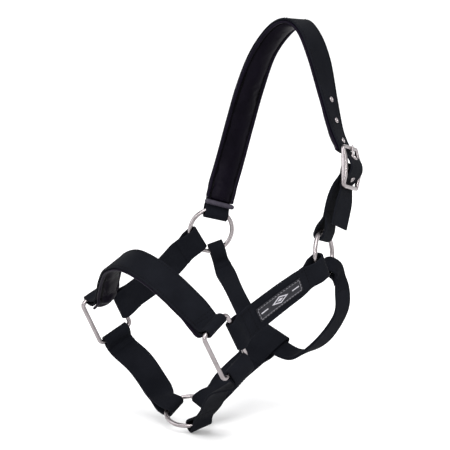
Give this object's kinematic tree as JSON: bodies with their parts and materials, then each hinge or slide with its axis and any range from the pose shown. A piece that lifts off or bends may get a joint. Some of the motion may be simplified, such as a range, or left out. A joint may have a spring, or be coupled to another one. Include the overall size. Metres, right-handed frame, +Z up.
{
  "type": "leather headcollar",
  "caption": "Padded horse headcollar: webbing straps on metal rings, buckled padded headpiece, padded noseband, chin straps and a throat strap.",
  "frame": {"origin": "middle of the headpiece's padded underside, where it rests behind the horse's ears", "axes": "+Z up, +X towards the horse's nose, +Y towards the horse's near (left) side"},
  "size_m": [0.2395, 0.2118, 0.4022],
  "materials": {
    "webbing": "fine-woven matt near-black webbing",
    "lining": "soft slightly glossy purplish-black padded lining",
    "foam": "closed-cell foam",
    "metal": "satin nickel plate",
    "label": "woven dark grey tape"
  },
  "bodies": {
    "headpiece": {"headpiece_strap": "webbing", "headpiece_lining": "lining", "headpiece_foam": "foam", "headpiece_end_roll": "lining", "eyelet_1": "metal", "eyelet_2": "metal", "eyelet_3": "metal", "eyelet_4": "metal", "eyelet_5": "metal", "buckle_frame": "metal", "buckle_strap": "webbing"},
    "tongue": {"buckle_tongue": "metal"},
    "near_upper_ring": {"near_upper_ring": "metal"},
    "off_upper_ring": {"off_upper_ring": "metal"},
    "lower": {"near_cheek_strap": "webbing", "off_cheek_strap": "webbing", "label_patch": "label", "near_square_ring": "metal", "off_square_ring": "metal", "noseband_strap": "webbing", "noseband_lining": "lining", "noseband_foam": "foam", "near_chin_strap": "webbing", "off_chin_strap": "webbing", "throat_connector": "webbing", "throat_strap": "webbing"},
    "lead_ring": {"lead_ring": "metal"}
  },
  "joints": [
    {"name": "tongue_pivot", "type": "hinge", "parent": "headpiece", "child": "tongue", "pos_m": [0.0076, 0.0906, -0.1302], "axis": [0.8772, 0.4203, 0.2321], "range_deg": [-3, 0]},
    {"name": "near_ring_spin", "type": "hinge", "parent": "headpiece", "child": "near_upper_ring", "pos_m": [0.039, 0.088, -0.213], "axis": [-0.449, 0.888, 0.0998], "continuous": true},
    {"name": "off_ring_spin", "type": "hinge", "parent": "headpiece", "child": "off_upper_ring", "pos_m": [0.039, -0.088, -0.213], "axis": [-0.449, -0.888, 0.0998], "continuous": true},
    {"name": "headpiece_swing", "type": "hinge", "parent": "headpiece", "child": "lower", "pos_m": [0.039, 0, -0.213], "axis": [0, 1, 0], "range_deg": [-6, 0]},
    {"name": "lead_ring_spin", "type": "hinge", "parent": "lower", "child": "lead_ring", "pos_m": [0.1387, 0, -0.3727], "axis": [0.3409, 0.2689, 0.9008], "continuous": true}
  ]
}
